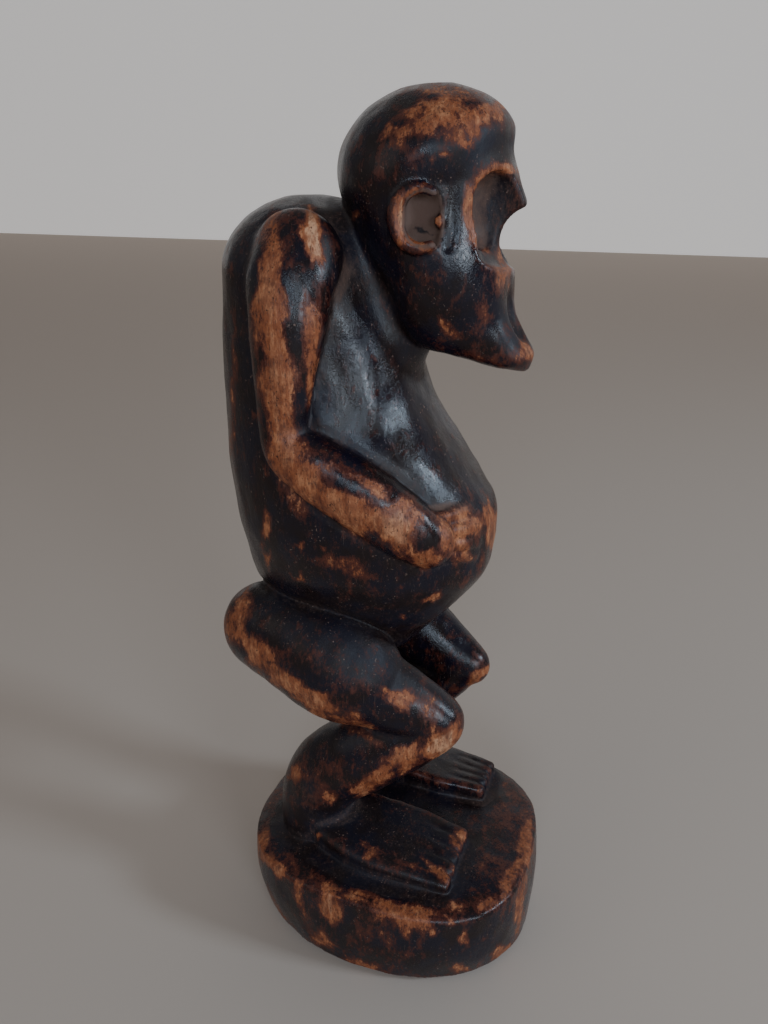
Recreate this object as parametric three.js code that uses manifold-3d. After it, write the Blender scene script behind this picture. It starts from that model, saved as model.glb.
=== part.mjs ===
// Squatting monkey figure, carved with its base from one block of wood.
// Millimetres. +Z is up, the figure faces -Y and its left side is +X.
// The origin is the middle of the flat underside. Points are written [x, forward, z] and
// forward is -Y, so a form reads the way the figure stands.
import * as THREE from 'three';
import Module from 'manifold-3d';

// Driving dimensions
const HEIGHT = 300;              // underside to crown
const BASE_HEIGHT = 41;
const TOP_RIM = 5.5;             // rounding of the base's upper edge
const LOW_RIM = 3;
const BASE_SIDE_SHIFT = -5.5;    // the base is left wider on the figure's right
const BODY_AXIS_END = 112;       // lowest level of the trunk
const SHOULDER_LEVEL = 270.5;
const HEAD_PIVOT = [5, 262];     // forward and up, inside the head
const HEAD_LEAN = 30;            // degrees the crown-to-chin line leans forward
const CROWN = HEIGHT - 338;      // along the head's own axis, from the pivot
const CHIN = 50.7;
const KNEE_SPREAD = 18.4;
const EYE_SPREAD = 9.8;
const EYE_LEVEL = 266.6;
const EAR_LEVEL = 265.2;
const EAR_FORWARD = 9;
const EAR_RADIUS = 6.9;
const TOES = 5;
const HEEL = -30;
const TOE_END = 28;
const FOOT_RISE = 4.6;           // toes above the top of the base
const INSTEP_RISE = 10;
const RIGHT_FOOT = 1.5;          // the right foot is the broader one
const LEFT_FOOT = -4;

// Sections of the base, by level: front, back, half width, squareness
const BASE = [
  { at: -BASE_HEIGHT, front: 51, back: -56.2, half: 46, square: 2.85 },
  { at: -20, front: 53.1, back: -59.3, half: 46.2, square: 2.45 },
  { at: 0, front: 51.8, back: -59, half: 43, square: 2.1 },
];

// Sections of the trunk, from the shoulders down to the seat
const TRUNK = [
  { at: -272, front: -12, back: -60, half: 29, square: 2.1 },
  { at: -250, front: -8.5, back: -61.5, half: 33, square: 2.1 },
  { at: -230, front: -2, back: -63.8, half: 31.5, square: 2.2 },
  { at: -210, front: 3.4, back: -65, half: 32, square: 2.2 },
  { at: -190, front: 16.8, back: -65.1, half: 35, square: 2.2 },
  { at: -170, front: 28, back: -63.7, half: 36.5, square: 2.1 },
  { at: -155, front: 26.8, back: -61.6, half: 34, square: 2.1 },
  { at: -140, front: 18.8, back: -59, half: 27, square: 2.1 },
  { at: -122, front: 3.5, back: -53, half: 21, square: 2.1 },
  { at: -BODY_AXIS_END, front: -2, back: -48, half: 18, square: 2.1 },
];

// Sections of the head square to its leaning axis, from the crown to the chin
const HEAD = [
  { at: CROWN, front: 29.6, back: -25, half: 25, square: 2.05 },
  { at: -13, front: 32.7, back: -19.9, half: 26.2, square: 2.05 },
  { at: -6, front: 29.2, back: -20.8, half: 25.6, square: 2.05 },
  { at: 1, front: 28, back: -21.6, half: 25.2, square: 2.05 },
  { at: 7, front: 27.5, back: -20.9, half: 24.6, square: 2.1 },
  { at: 12, front: 25.6, back: -21, half: 23.6, square: 2.2 },
  { at: 20, front: 16.6, back: -20.8, half: 21, square: 2.5 },
  { at: 25, front: 13.4, back: -20, half: 18.8, square: 2.8 },
  { at: 30, front: 10.9, back: -18, half: 16.2, square: 2.9 },
  { at: 35.3, front: 9.8, back: -12, half: 13.8, square: 2.8 },
  { at: 41, front: 9.8, back: -5.8, half: 11.4, square: 2.6 },
  { at: 47, front: 10.2, back: 0.3, half: 8.4, square: 2.3 },
  { at: CHIN, front: 9, back: 3.6, half: 5.8, square: 2 },
];

// Centre lines of the limbs on the figure's left: x, forward, z, radius
const THIGH = [
  [14.5, -49, 122, 17.8],
  [20, -35.5, 120, 20.2],
  [23.5, -19, 116.5, 21],
  [22.5, -8, 110.3, 16],
  [21, 2, 105.5, 13.6],
  [19.5, 9.5, 101.8, 12.2],
  [KNEE_SPREAD, 15, 98.4, 11],
];
const THIGH_DEPTH = 0.8;         // limbs are flattened sideways
const SHIN = [
  [KNEE_SPREAD, 14, 94.5, 10.3],
  [20, 2, 86.5, 12.5],
  [20.6, -11, 78.5, 15],
  [21, -23, 68, 15],
  [21.3, -29.5, 57, 14],
  [21.5, -31, 46, 13.6],
];
const SHIN_DEPTH = 0.9;
const ARM = [
  [24.5, -28, 254, 13.5],
  [30, -28.5, 246, 13.2],
  [33, -28.2, 236, 11.8],
  [34.3, -28.8, 226, 10.2],
  [35, -29.5, 216, 8.8],
  [35, -30, 206, 7.8],
  [34.9, -27.5, 198.5, 8.8],
  [34.5, -17, 192, 10.4],
  [32.6, -4, 184.5, 10.8],
  [29, 6, 176.3, 10.4],
  [25.5, 13, 171, 9],
];
const ARM_DEPTH = 0.75;
const NECK = [
  [0, -8, 262, 14],
  [0, -4, 246, 14],
  [0, -6, 232, 12],
];

// Hollows cut beside the arms, behind and in front
const ARM_GROOVE = [
  [38.5, -43, 256, 3],
  [38, -42, 240, 3.6],
  [37.5, -40, 224, 3.6],
  [37, -39.5, 206, 3],
];
const ARMPIT = [
  [36, -9, 238, 5],
  [35, -9.5, 226, 7.5],
  [35, -8.5, 213, 6],
  [36, -7, 205, 3],
];

// The face: cheekbone, hollow before the ear, notch under the brow, bowl of the ear
const CHEEK = [
  [13.6, 16.6, 273, 4.2],
  [14, 15.6, 265, 4.6],
  [13.4, 16.2, 257, 4.8],
  [12, 18.8, 249.5, 5],
  [9.6, 22.5, 242.5, 4.6],
];
const VALLEY = [
  [20.6, 18.6, 276, 0.6],
  [21.4, 18.8, 268, 2.4],
  [21.6, 17.8, 259, 4],
  [21.6, 16.6, 254, 3],
];
const EYE_NOTCH = [
  [-14, 30.5, 259.5, 8],
  [-7, 33.5, 259, 9.3],
  [0, 35.6, 258.3, 9.8],
  [7, 33, 259, 10],
  [14, 29.5, 259.5, 10],
];
const EAR_RECESS = [
  [29.9, 8.8, EAR_LEVEL, 7.4],
  [27.6, 12.6, EAR_LEVEL, 7.4],
];

// Fingers from the first to the last: level of the knuckle, level and forward of the tip, radius
const FINGERS = [
  [178.8, 177.6, 22, 2.9],
  [174.8, 171.4, 24.8, 2.9],
  [171, 165.6, 25.3, 2.8],
  [167.4, 160.4, 24.6, 2.4],
];

// Edges of a foot by distance forward
const FOOT = [
  { at: HEEL, inner: 12, outer: 29 },
  { at: -24, inner: 10, outer: 33.5 },
  { at: -12, inner: 9, outer: 37.5 },
  { at: -2, inner: 8, outer: 38.6 },
  { at: 10, inner: 8, outer: 38 },
  { at: TOE_END, inner: 11, outer: 36.4 },
];

const wasm = await Module();
wasm.setup();

// A value read from a table of sections, smooth and without overshoot between the rows
function between(rows, key, at) {
  const last = rows.length - 1;
  const x = THREE.MathUtils.clamp(at, rows[0].at, rows[last].at);
  const slope = (i) => (rows[i + 1][key] - rows[i][key]) / (rows[i + 1].at - rows[i].at);
  const tangent = (i) => {
    if (i === 0) return slope(0);
    if (i === last) return slope(last - 1);
    const before = slope(i - 1);
    const after = slope(i);
    if (before * after <= 0) return 0;
    const h0 = rows[i].at - rows[i - 1].at;
    const h1 = rows[i + 1].at - rows[i].at;
    const w1 = 2 * h1 + h0;
    const w2 = h1 + 2 * h0;
    return (w1 + w2) / (w1 / before + w2 / after);
  };
  let i = 0;
  while (i < last - 1 && x > rows[i + 1].at) i += 1;
  const h = rows[i + 1].at - rows[i].at;
  const u = (x - rows[i].at) / h;
  return (1 + 2 * u) * (1 - u) ** 2 * rows[i][key]
    + u * (1 - u) ** 2 * h * tangent(i)
    + u * u * (3 - 2 * u) * rows[i + 1][key]
    + u * u * (u - 1) * h * tangent(i + 1);
}

// A closed solid over a row of rings with the same number of points; each end closes on its middle
function shell(rings) {
  const count = rings[0].length;
  const points = rings.flat();
  const faces = [];
  const middle = (ring) => ring
    .reduce((sum, p) => sum.add(p), new THREE.Vector3())
    .divideScalar(count);
  for (let r = 0; r + 1 < rings.length; r += 1) {
    for (let i = 0; i < count; i += 1) {
      const j = (i + 1) % count;
      const a = r * count + i;
      const b = r * count + j;
      faces.push(a, b, b + count, a, b + count, a + count);
    }
  }
  const top = points.length;
  points.push(middle(rings[0]), middle(rings[rings.length - 1]));
  const start = (rings.length - 1) * count;
  for (let i = 0; i < count; i += 1) {
    const j = (i + 1) % count;
    faces.push(top, j, i, top + 1, start + i, start + j);
  }
  let volume = 0;
  for (let k = 0; k < faces.length; k += 3) {
    const [a, b, c] = [points[faces[k]], points[faces[k + 1]], points[faces[k + 2]]];
    volume += a.dot(new THREE.Vector3().crossVectors(b, c));
  }
  if (volume < 0) {
    for (let k = 0; k < faces.length; k += 3) {
      [faces[k + 1], faces[k + 2]] = [faces[k + 2], faces[k + 1]];
    }
  }
  return new wasm.Manifold(new wasm.Mesh({
    numProp: 3,
    vertProperties: Float32Array.from(points.flatMap((p) => [p.x, p.y, p.z])),
    triVerts: Uint32Array.from(faces),
  }));
}

// A point from x, forward, z
const place = (x, forward, z) => new THREE.Vector3(x, -forward, z);

// A body over a table of sections, with both ends rounded over a given length
function body(rows, { start, end, roundStart, roundEnd, curve, around, levels, toWorld }) {
  const steps = [];
  const capRows = 4;
  for (let i = 0; i < capRows; i += 1) {
    const angle = (0.5 * Math.PI * (i + 0.2)) / capRows;
    steps.push(start + roundStart * (1 - Math.cos(angle)));
  }
  for (let i = 0; i <= levels; i += 1) {
    steps.push(start + roundStart + ((end - roundEnd - start - roundStart) * i) / levels);
  }
  for (let i = capRows - 1; i >= 0; i -= 1) {
    const angle = (0.5 * Math.PI * (i + 0.2)) / capRows;
    steps.push(end - roundEnd * (1 - Math.cos(angle)));
  }
  const rings = steps.map((at) => {
    const over = Math.max(0, (start + roundStart - at) / roundStart, (at - end + roundEnd) / roundEnd);
    const scale = (1 - over ** curve) ** (1 / curve);
    const front = between(rows, 'front', at);
    const back = between(rows, 'back', at);
    const half = between(rows, 'half', at) * scale;
    const depth = ((front - back) / 2) * scale;
    const power = 2 / between(rows, 'square', at);
    return Array.from({ length: around }, (_, i) => {
      const angle = (i / around) * Math.PI * 2;
      const c = Math.cos(angle);
      const s = Math.sin(angle);
      const u = (front + back) / 2 + depth * Math.sign(c) * Math.abs(c) ** power;
      return toWorld(half * Math.sign(s) * Math.abs(s) ** power, u, at);
    });
  });
  return shell(rings);
}

// A round limb along a smooth line, with rounded ends; depth below one flattens it sideways
function limb(points, { around = 12, per = 3, depth = 1, caps = 2 } = {}) {
  const line = new THREE.CatmullRomCurve3(
    points.map(([x, f, z]) => place(x, f, z)), false, 'catmullrom', 0.5);
  const radii = new THREE.CatmullRomCurve3(
    points.map((p) => new THREE.Vector3(p[3], 0, 0)), false, 'catmullrom', 0.5);
  const count = (points.length - 1) * per;
  const rings = [];
  const side = new THREE.Vector3(1, 0, 0);
  const addRing = (centre, tangent, radius) => {
    const up = new THREE.Vector3().crossVectors(tangent, side).normalize();
    const across = new THREE.Vector3().crossVectors(up, tangent).normalize();
    rings.push(Array.from({ length: around }, (_, i) => {
      const angle = (i / around) * Math.PI * 2;
      const reach = across.clone().multiplyScalar(radius * Math.cos(angle))
        .addScaledVector(up, radius * Math.sin(angle));
      reach.x *= depth;
      return centre.clone().add(reach);
    }));
  };
  for (let i = 0; i <= count; i += 1) {
    const u = i / count;
    const centre = line.getPoint(u);
    const tangent = line.getTangent(u);
    const radius = radii.getPoint(u).x;
    if (i === 0) {
      for (let k = 0; k < caps; k += 1) {
        const angle = (0.5 * Math.PI * (k + 0.4)) / caps;
        const back = tangent.clone().multiplyScalar(-radius * Math.cos(angle));
        addRing(centre.clone().add(back), tangent, radius * Math.sin(angle));
      }
    }
    addRing(centre, tangent, radius);
    if (i === count) {
      for (let k = caps - 1; k >= 0; k -= 1) {
        const angle = (0.5 * Math.PI * (k + 0.4)) / caps;
        const ahead = tangent.clone().multiplyScalar(radius * Math.cos(angle));
        addRing(centre.clone().add(ahead), tangent, radius * Math.sin(angle));
      }
    }
  }
  return shell(rings);
}

// An egg with its own radii along x, forward and z, leaning forward by some degrees; a squareness
// above two makes it boxier
function egg([x, f, z], [rx, rf, rz], { lean = 0, square = 2, around = 16, levels = 10 } = {}) {
  const slope = THREE.MathUtils.degToRad(lean);
  const bend = (value) => Math.sign(value) * Math.abs(value) ** (2 / square);
  const rings = [];
  for (let k = 0; k < levels; k += 1) {
    const polar = (Math.PI * (k + 0.5)) / levels;
    rings.push(Array.from({ length: around }, (_, i) => {
      const angle = (i / around) * Math.PI * 2;
      const px = rx * bend(Math.sin(polar)) * bend(Math.cos(angle));
      const pf = rf * bend(Math.sin(polar)) * bend(Math.sin(angle));
      const pz = rz * bend(Math.cos(polar));
      return place(
        x + px,
        f + pf * Math.cos(slope) - pz * Math.sin(slope),
        z + pf * Math.sin(slope) + pz * Math.cos(slope),
      );
    }));
  }
  return shell(rings);
}

const mirrored = (points, side) => points.map(([x, ...rest]) => [side * x, ...rest]);
const upright = (shift) => (x, u, at) => place(x + shift, u, -at);
const leaning = (x, u, at) => {
  const lean = THREE.MathUtils.degToRad(HEAD_LEAN);
  return place(
    x,
    HEAD_PIVOT[0] + at * Math.sin(lean) + u * Math.cos(lean),
    HEAD_PIVOT[1] - at * Math.cos(lean) + u * Math.sin(lean),
  );
};

// The block the figure stands on: upright sides, a soft upper rim, a slightly dished top
function base() {
  const around = 40;
  const corner = (radius, depth) => radius - Math.sqrt(radius ** 2 - (radius - depth) ** 2);
  const rings = [];
  const addRing = (z, inset) => {
    const front = between(BASE, 'front', -z) - inset;
    const back = between(BASE, 'back', -z) + inset;
    const half = between(BASE, 'half', -z) - inset;
    const power = 2 / between(BASE, 'square', -z);
    rings.push(Array.from({ length: around }, (_, i) => {
      const angle = (i / around) * Math.PI * 2;
      const c = Math.cos(angle);
      const s = Math.sin(angle);
      return place(
        BASE_SIDE_SHIFT + half * Math.sign(s) * Math.abs(s) ** power,
        (front + back) / 2 + ((front - back) / 2) * Math.sign(c) * Math.abs(c) ** power,
        z,
      );
    }));
  };
  for (const depth of [0, LOW_RIM * 0.3, LOW_RIM]) addRing(depth, corner(LOW_RIM, depth));
  for (const z of [10, 20, 29]) addRing(z, 0);
  for (const depth of [TOP_RIM, TOP_RIM * 0.55, TOP_RIM * 0.2, 0]) {
    addRing(BASE_HEIGHT - depth, corner(TOP_RIM, depth));
  }
  return shell(rings).subtract(egg([BASE_SIDE_SHIFT, 22, 64], [44, 34, 24.4], { around: 20, levels: 10 }));
}

// A low wedge of a foot that slopes toward the toes and the outer edge; grooves part the toes
function foot(side) {
  const extra = side < 0 ? RIGHT_FOOT : LEFT_FOOT;
  const inner = (f) => between(FOOT, 'inner', f);
  const outer = (f) => between(FOOT, 'outer', f) + extra;
  const top = (f, share) => BASE_HEIGHT + INSTEP_RISE
    - (INSTEP_RISE - FOOT_RISE) * ((f - HEEL) / (TOE_END - HEEL)) - 2.4 * share ** 2;
  const bottom = BASE_HEIGHT - 6;
  const rings = [HEEL, -24, -12, -2, 10, TOE_END - 1, TOE_END].map((f) => {
    const drop = f === TOE_END ? 1.2 : 0;
    const [a, b] = [inner(f), outer(f)];
    const outline = [
      [a, bottom], [a, top(f, 0) - 2.4], [a + 2.2, top(f, 0.1) - 0.5 - drop],
      [(a + b) / 2, top(f, 0.5) - drop], [b - 5, top(f, 0.85) - 0.7 - drop],
      [b - 1.2, top(f, 1) - 2.4], [b, bottom],
    ];
    return outline.map(([x, z]) => place(side * x, f, z));
  });
  let solid = shell(rings);
  for (let i = 1; i < TOES; i += 1) {
    const share = i / TOES;
    const groove = [[10, 0.1], [TOE_END + 1, 1.9]].map(([f, depth]) => {
      const x = inner(f) + share * (outer(f) - inner(f));
      const z = top(f, share) + 0.8;
      return [[x - 1, z], [x + 1, z], [x, z - 0.8 - depth]]
        .map(([px, pz]) => place(side * px, f, pz));
    });
    solid = solid.subtract(shell(groove));
  }
  return solid;
}

// One arm down to the wrist with the hand laid on the belly
function arm(side) {
  let solid = limb(mirrored(ARM, side), { around: 14, per: 2, depth: ARM_DEPTH });
  for (const [knuckle, tip, front, radius] of FINGERS) {
    const finger = [
      [25, 15.2, knuckle - 0.5, radius],
      [18.5, front - 2.8, (knuckle + tip) / 2, radius],
      [10.8, front, tip, radius],
    ];
    solid = solid.add(limb(mirrored(finger, side), { around: 7, per: 2, caps: 1 }));
  }
  return solid;
}

// The space outside the temple, which closes in toward the face
function temple(side) {
  const levels = [[214, 30.9], [262, 25.1], [274, 25.1], [306, 39.5]];
  return shell(levels.map(([z, reach]) => [
    [(reach - 0.514 * 2) / 0.857, 2],
    [(reach - 0.514 * 48) / 0.857, 48],
    [60, 48],
    [60, 2],
  ].map(([x, f]) => place(side * x, f, z))));
}

// The head: egg-shaped, with scooped eyes under a brow, pointed jaw and rings for ears
function head() {
  let solid = body(HEAD, {
    start: CROWN, end: CHIN, roundStart: 23, roundEnd: 5, curve: 1.92,
    around: 30, levels: 13, toWorld: leaning,
  });
  for (const side of [-1, 1]) {
    solid = solid.subtract(temple(side));
  }
  for (const side of [-1, 1]) {
    solid = solid.add(limb(mirrored(CHEEK, side), { around: 10, per: 1 }));
  }
  solid = solid.subtract(limb(EYE_NOTCH, { around: 16, per: 1 }));
  solid = solid.subtract(egg([0, 37.9, 239.5], [8.4, 9.4, 11.5], { lean: 15 }));
  for (const side of [-1, 1]) {
    const socket = egg([side * EYE_SPREAD, 28, EYE_LEVEL], [7.6, 10.5, 10.8], { square: 2.6 });
    solid = solid.subtract(socket);
    solid = solid.subtract(limb(mirrored(VALLEY, side), { around: 8, per: 1 }));
    solid = solid.subtract(limb(mirrored(EAR_RECESS, side), { around: 14, per: 1 }));
    const rim = Array.from({ length: 10 }, (_, i) => {
      const angle = THREE.MathUtils.degToRad(70 + (222 * i) / 9);
      return [
        side * (24.8 - 0.4 * Math.cos(angle)),
        EAR_FORWARD + EAR_RADIUS * Math.cos(angle),
        EAR_LEVEL + EAR_RADIUS * Math.sin(angle),
        1.6 + 0.35 * (1 - Math.cos(angle)),
      ];
    });
    solid = solid.add(ringTube(rim, side));
  }
  return solid;
}

// A tube along an open ring of points that lies in a plane of its own x
function ringTube(points, side) {
  const around = 8;
  const outward = new THREE.Vector3(side, 0, 0);
  const rings = points.map(([x, f, z, radius], i) => {
    const before = points[Math.max(i - 1, 0)];
    const after = points[Math.min(i + 1, points.length - 1)];
    const tangent = place(0, after[1] - before[1], after[2] - before[2]).normalize();
    const across = new THREE.Vector3().crossVectors(tangent, outward);
    return Array.from({ length: around }, (_, k) => {
      const angle = (k / around) * Math.PI * 2;
      return place(x, f, z)
        .addScaledVector(across, radius * Math.cos(angle))
        .addScaledVector(outward, radius * Math.sin(angle));
    });
  });
  return shell(rings);
}

function figure() {
  let solid = base();
  let trunk = body(TRUNK, {
    start: -SHOULDER_LEVEL, end: -BODY_AXIS_END, roundStart: 22, roundEnd: 10, curve: 2.2,
    around: 30, levels: 11, toWorld: upright(0),
  });
  trunk = trunk.add(limb(NECK, { around: 14, per: 1 }));
  trunk = trunk.add(egg([0, -40, 128], [22, 15, 17]));
  for (const side of [-1, 1]) {
    solid = solid.add(foot(side));
    solid = solid.add(limb(mirrored(SHIN, side), { around: 14, per: 2, depth: SHIN_DEPTH }));
    solid = solid.add(limb(mirrored(THIGH, side), {
      around: 14, per: 2, caps: 3, depth: THIGH_DEPTH,
    }));
    trunk = trunk.subtract(limb(mirrored(ARM_GROOVE, side), { around: 10, per: 1 }));
    trunk = trunk.subtract(limb(mirrored(ARMPIT, side), { around: 9, per: 1 }));
  }
  solid = solid.add(trunk);
  for (const side of [-1, 1]) {
    solid = solid.add(arm(side));
  }
  return solid.add(head());
}

// The finished solid as a mesh with flat facets
function toMesh(solid, name, material) {
  const mesh = solid.getMesh();
  const geometry = new THREE.BufferGeometry();
  const positions = Float32Array.from({ length: mesh.numVert * 3 }, (_, i) => {
    const vertex = Math.floor(i / 3);
    return mesh.vertProperties[vertex * mesh.numProp + (i % 3)];
  });
  geometry.setAttribute('position', new THREE.BufferAttribute(positions, 3));
  geometry.setIndex(new THREE.BufferAttribute(Uint32Array.from(mesh.triVerts), 1));
  geometry.computeVertexNormals();
  const result = new THREE.Mesh(geometry, material);
  result.name = name;
  return result;
}

const darkWood = new THREE.MeshStandardMaterial({
  color: 0x33241f,
  roughness: 0.42,
  metalness: 0,
});
darkWood.name = 'patinated_wood';

const monkey = new THREE.Group();
monkey.name = 'monkey_figure';
monkey.add(toMesh(figure(), 'carved_monkey', darkWood));

export default monkey;
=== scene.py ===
# %% [markdown]
# # A squatting monkey carved from one block
# The figure and its base are one piece of dark, polished wood. This lesson carves it again as a field of
# distances, turns that field into a mesh, wears the mesh as hands would, and gives it a patina. The plain
# solid that comes with the frame says how large it may be and what its piece is called.

# %% The frame that the carving has to fit
import math
from types import SimpleNamespace
import bpy
import numpy as np
import openvdb
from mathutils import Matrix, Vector
from mathutils.bvhtree import BVHTree


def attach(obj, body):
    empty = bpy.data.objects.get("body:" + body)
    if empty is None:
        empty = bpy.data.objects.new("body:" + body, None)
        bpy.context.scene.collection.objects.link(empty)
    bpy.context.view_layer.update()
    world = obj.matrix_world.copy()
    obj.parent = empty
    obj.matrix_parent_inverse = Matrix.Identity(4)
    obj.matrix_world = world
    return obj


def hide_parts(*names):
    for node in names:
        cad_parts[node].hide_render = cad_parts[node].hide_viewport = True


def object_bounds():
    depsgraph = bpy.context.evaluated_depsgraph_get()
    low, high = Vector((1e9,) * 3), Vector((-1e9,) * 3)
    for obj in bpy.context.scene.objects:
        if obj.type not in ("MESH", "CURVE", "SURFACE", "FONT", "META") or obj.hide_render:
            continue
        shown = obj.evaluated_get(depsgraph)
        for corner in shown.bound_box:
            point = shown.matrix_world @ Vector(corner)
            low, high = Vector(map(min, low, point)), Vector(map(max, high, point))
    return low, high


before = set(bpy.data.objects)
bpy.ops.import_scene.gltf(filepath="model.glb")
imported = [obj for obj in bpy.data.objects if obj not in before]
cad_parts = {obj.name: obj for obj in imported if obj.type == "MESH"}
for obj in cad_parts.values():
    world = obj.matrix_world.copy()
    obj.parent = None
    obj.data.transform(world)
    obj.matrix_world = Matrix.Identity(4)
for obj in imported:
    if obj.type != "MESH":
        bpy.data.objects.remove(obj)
cad_low, cad_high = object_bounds()
MM = 0.001
NODE = "carved_monkey"
print("frame:", [round(v * 1000, 1) for v in (*cad_low, *cad_high)], "mm")

# %% [markdown]
# ## The viewpoint
# The photograph was taken from close by, at the height of the head and slightly in front of the figure's
# right side. So near a camera sees the base strongly from above and the head almost level, and the distance
# matters as much as the direction. Both were found by setting measured points of the figure against it.

# %% Camera
CAMERA_PLACE = Vector((-241.5, -81.9, 276.7)) * MM
CAMERA_TURN = math.radians(21)      # away from a pure side view, toward the face
CAMERA_DROP = math.radians(23)      # below level
SENSOR_LENGTH = 36                  # millimetres, along the longer side of the picture
CAMERA_LENS = 28.125                # millimetres
NEAREST_SEEN = 0.01                 # metres

forward = Vector((
    math.cos(CAMERA_TURN) * math.cos(CAMERA_DROP),
    math.sin(CAMERA_TURN) * math.cos(CAMERA_DROP),
    -math.sin(CAMERA_DROP),
))
camera_data = bpy.data.cameras.new("camera")
camera_data.lens = CAMERA_LENS
camera_data.sensor_width = SENSOR_LENGTH
camera_data.clip_start = NEAREST_SEEN
camera = bpy.data.objects.new("camera", camera_data)
bpy.context.scene.collection.objects.link(camera)
camera.location = CAMERA_PLACE
camera.rotation_euler = forward.to_track_quat("-Z", "Y").to_euler()
bpy.context.scene.camera = camera
print("camera looks along", [round(v, 3) for v in forward])

# %% [markdown]
# ## Carving with distances
# A carver takes wood away and lets one form run into the next. A field of signed distances does the same:
# each cell of a grid holds how far it is from the surface, negative inside. Joining two forms is taking the
# smaller distance, cutting is taking the larger, and a little rounding between the two gives the soft or
# crisp valleys that a knife leaves. Boolean cuts on meshes could join the forms too, but not melt them.

# %% Block of wood
FAR_AWAY = 99.0                     # distance in a cell that no form has reached yet
ADD_MARGIN, CUT_MARGIN = 6, 4       # millimetres around a form that are worked at least


def soft_min(a, b, width):
    share = np.clip(0.5 + 0.5 * (b - a) / width, 0, 1)
    return b + (a - b) * share - width * share * (1 - share)


def soft_max(a, b, width):
    return -soft_min(-a, -b, width)


class Block:
    """A grid of distances in millimetres. Axes are x (the figure's left), forward and up."""

    def __init__(self, low, high, step):
        self.low = np.array(low, float)
        self.step = step
        self.axes = [np.arange(a, b + step, step) for a, b in zip(low, high)]
        self.field = np.full([len(axis) for axis in self.axes], FAR_AWAY, np.float32)

    def window(self, form, margin):
        cut = []
        for axis, low, high in zip(self.axes, form.low, form.high):
            first = max(0, int(np.searchsorted(axis, low - margin)) - 1)
            last = min(len(axis), int(np.searchsorted(axis, high + margin)) + 1)
            cut.append(slice(first, last))
        x, f, z = (axis[c] for axis, c in zip(self.axes, cut))
        return tuple(cut), form(x[:, None, None], f[None, :, None], z[None, None, :])

    def add(self, form, blend):
        cut, distance = self.window(form, max(ADD_MARGIN, 2 * blend))
        self.field[cut] = soft_min(self.field[cut], distance.astype(np.float32), blend)

    def cut(self, form, blend):
        cut, distance = self.window(form, max(CUT_MARGIN, 2 * blend))
        self.field[cut] = soft_max(self.field[cut], -distance.astype(np.float32), blend)


class Form:
    """A shape as a function of place, with the corners of the room that it takes up."""

    def __init__(self, low, high, distance):
        self.low, self.high, self.distance = low, high, distance

    def __call__(self, x, f, z):
        return self.distance(x, f, z)


print("where two planes meet, a blend of 4 mm fills", -float(soft_min(0.0, 0.0, 4.0)), "mm")

# %% [markdown]
# ## A body over sections
# The trunk, the head and the base are each nearest to a stack of rounded sections, so a short table holds
# them: how far each section reaches in front, behind and to the sides, and how square it is. The table is
# read smoothly but never beyond its own values, because a spline that overshoots would put in bulges that
# nobody carved.

# %% Body from sections
SMALLEST_SCALE = 0.05               # keeps the middle of a body from dividing by nought
ROOM_ROWS = 60                      # sections that are looked at to find how much room a body takes


def smooth_row(rows, column, at):
    """A column of a table of sections, read smoothly and without overshoot between the rows."""
    table = np.array(rows, float)
    place, value = table[:, 0], table[:, column]
    gap = np.diff(place)
    slope = np.diff(value) / gap
    tangent = np.zeros_like(value)
    tangent[0], tangent[-1] = slope[0], slope[-1]
    for i in range(1, len(value) - 1):
        if slope[i - 1] * slope[i] > 0:
            before, after = 2 * gap[i] + gap[i - 1], gap[i] + 2 * gap[i - 1]
            tangent[i] = (before + after) / (before / slope[i - 1] + after / slope[i])
    at = np.clip(at, place[0], place[-1])
    i = np.clip(np.searchsorted(place, at) - 1, 0, len(gap) - 1)
    u = (at - place[i]) / gap[i]
    return (
        (1 + 2 * u) * (1 - u) ** 2 * value[i]
        + u * (1 - u) ** 2 * gap[i] * tangent[i]
        + u * u * (3 - 2 * u) * value[i + 1]
        + u * u * (u - 1) * gap[i] * tangent[i + 1]
    )


def body(rows, start, end, round_start, round_end, curve, pivot=(0, 0), lean=0.0, shift=0.0):
    """A body over sections (place, front, back, half width, squareness) along a straight axis.

    The axis runs down from the pivot and may lean forward. Both ends are rounded."""
    sin, cos = math.sin(math.radians(lean)), math.cos(math.radians(lean))

    def distance(x, f, z):
        df, dz = f - pivot[0], z - pivot[1]
        along, out = df * sin - dz * cos, df * cos + dz * sin
        at = np.clip(along, start, end)
        front, back, half, square = (smooth_row(rows, column, at) for column in (1, 2, 3, 4))
        middle, depth = (front + back) / 2, (front - back) / 2
        over = np.maximum(start + round_start - along, 0)
        under = np.maximum(along - end + round_end, 0)
        beyond = over / round_start + under / round_end
        ring = (np.abs((out - middle) / depth) ** square
                + np.abs((x - shift) / half) ** square) ** (1 / square)
        scale = np.maximum((ring ** curve + beyond ** curve) ** (1 / curve), SMALLEST_SCALE)
        reach = np.sqrt((out - middle) ** 2 + (x - shift) ** 2 + (over + under) ** 2)
        return reach * (1 - 1 / scale) - (scale <= SMALLEST_SCALE) * depth

    ends = np.linspace(start, end, ROOM_ROWS)
    corners = []
    for column in (1, 2):
        out = smooth_row(rows, column, ends)
        corners.append((pivot[0] + ends * sin + out * cos, pivot[1] - ends * cos + out * sin))
    f_all = np.concatenate([c[0] for c in corners])
    z_all = np.concatenate([c[1] for c in corners])
    widest = max(row[3] for row in rows)
    return Form((shift - widest, f_all.min(), z_all.min()), (shift + widest, f_all.max(), z_all.max()),
                distance)


print("between rows of 10, 20 and 20 mm:", smooth_row([(0, 10), (10, 20), (20, 20)], 1, np.array([5, 15])))

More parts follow.
